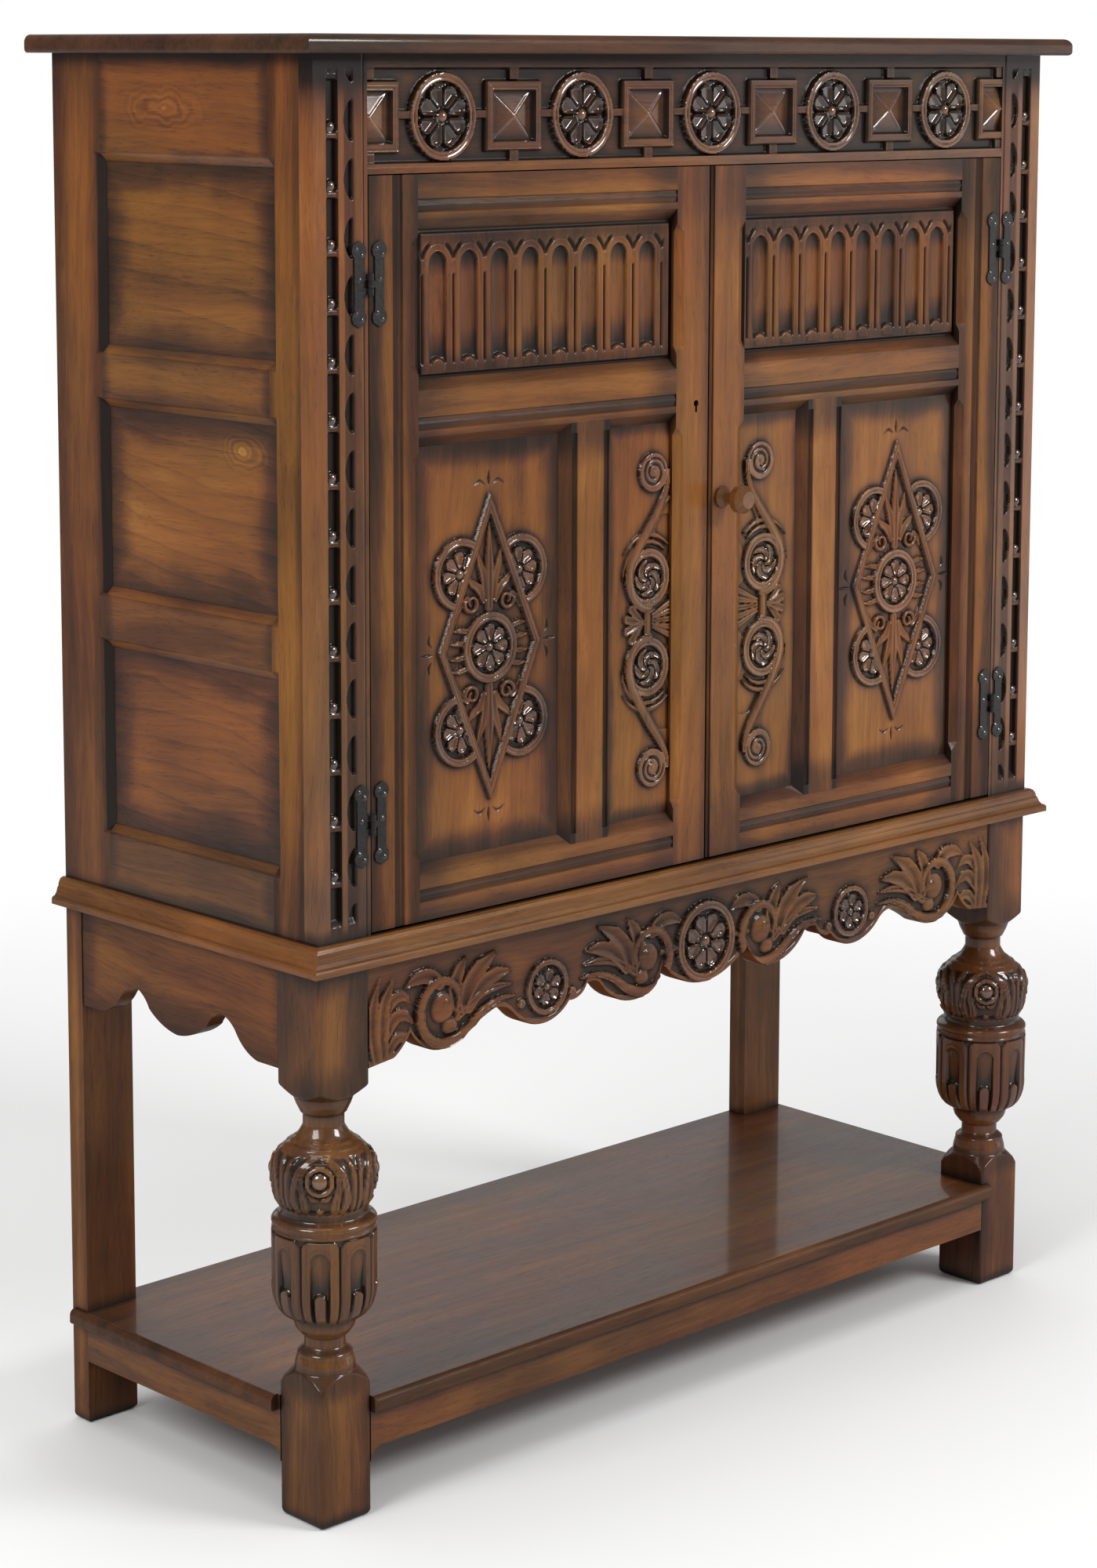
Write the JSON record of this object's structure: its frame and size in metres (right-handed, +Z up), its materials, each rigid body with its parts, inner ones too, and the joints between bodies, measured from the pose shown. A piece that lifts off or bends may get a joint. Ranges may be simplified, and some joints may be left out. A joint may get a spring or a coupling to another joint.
{
  "type": "court cupboard",
  "caption": "Carved oak court cupboard: a panelled case with hinged doors on an open stand with turned cup-and-cover legs and a low pot board.",
  "frame": {"origin": "on the floor under the centre of the object's bounding box, the knob included", "axes": "+Z up, +Y from the doors to the back, +X to the right as seen from the front"},
  "size_m": [1.1, 0.446, 1.42],
  "materials": {
    "dark_oak": "waxed dark stain",
    "inner_oak": "plain unpolished",
    "dark_iron": "blackened"
  },
  "bodies": {
    "case_and_stand": {"back_boards": "inner_oak", "case_floor": "inner_oak", "frieze_rail": "dark_oak", "front_apron": "dark_oak", "front_leg_left": "dark_oak", "front_leg_right": "dark_oak", "front_stile_left": "dark_oak", "front_stile_right": "dark_oak", "hinge_frame_leaves": "dark_iron", "hinge_pins": "dark_iron", "inner_shelf": "inner_oak", "lower_rail_front": "dark_oak", "lower_rail_left": "dark_oak", "lower_rail_rear": "inner_oak", "lower_rail_right": "dark_oak", "pot_board": "dark_oak", "rear_apron": "inner_oak", "rear_leg_left": "dark_oak", "rear_leg_right": "dark_oak", "shelf_bearers": "inner_oak", "side_apron_left": "dark_oak", "side_apron_right": "dark_oak", "side_front_stile_left": "dark_oak", "side_front_stile_right": "dark_oak", "side_panels_left": "dark_oak", "side_panels_right": "dark_oak", "side_rails_left": "dark_oak", "side_rails_right": "dark_oak", "side_rear_stile_left": "dark_oak", "side_rear_stile_right": "dark_oak", "top_board": "dark_oak", "waist_moulding_front": "dark_oak", "waist_moulding_left": "dark_oak", "waist_moulding_right": "dark_oak"},
    "left_door": {"left_door_arcade_panel": "dark_oak", "left_door_bottom_rail": "dark_oak", "left_door_hinge_leaves": "dark_iron", "left_door_hinge_stile": "dark_oak", "left_door_lozenge_panel": "dark_oak", "left_door_meeting_stile": "dark_oak", "left_door_middle_rail": "dark_oak", "left_door_muntin": "dark_oak", "left_door_scroll_panel": "dark_oak", "left_door_top_rail": "dark_oak", "lock_case": "dark_iron", "surface_bolt_plate": "dark_iron"},
    "right_door": {"right_door_arcade_panel": "dark_oak", "right_door_bottom_rail": "dark_oak", "right_door_hinge_leaves": "dark_iron", "right_door_hinge_stile": "dark_oak", "right_door_lozenge_panel": "dark_oak", "right_door_meeting_stile": "dark_oak", "right_door_middle_rail": "dark_oak", "right_door_muntin": "dark_oak", "right_door_scroll_panel": "dark_oak", "right_door_top_rail": "dark_oak", "door_knob": "dark_oak"},
    "lock_bolt_body": {"lock_bolt": "dark_iron"},
    "surface_bolt_body": {"surface_bolt": "dark_iron"}
  },
  "joints": [
    {"name": "left_door_hinge", "type": "hinge", "parent": "case_and_stand", "child": "left_door", "pos_m": [-0.4594, -0.1884, 0.9], "axis": [0, 0, -1], "range_deg": [0, 170]},
    {"name": "right_door_hinge", "type": "hinge", "parent": "case_and_stand", "child": "right_door", "pos_m": [0.4594, -0.1884, 0.9], "axis": [0, 0, 1], "range_deg": [0, 170]},
    {"name": "lock_bolt_slide", "type": "slide", "parent": "left_door", "child": "lock_bolt_body", "axis": [1, 0, 0], "range_m": [0, 0.008]},
    {"name": "surface_bolt_slide", "type": "slide", "parent": "left_door", "child": "surface_bolt_body", "axis": [0, 0, 1], "range_m": [0, 0.01]}
  ]
}
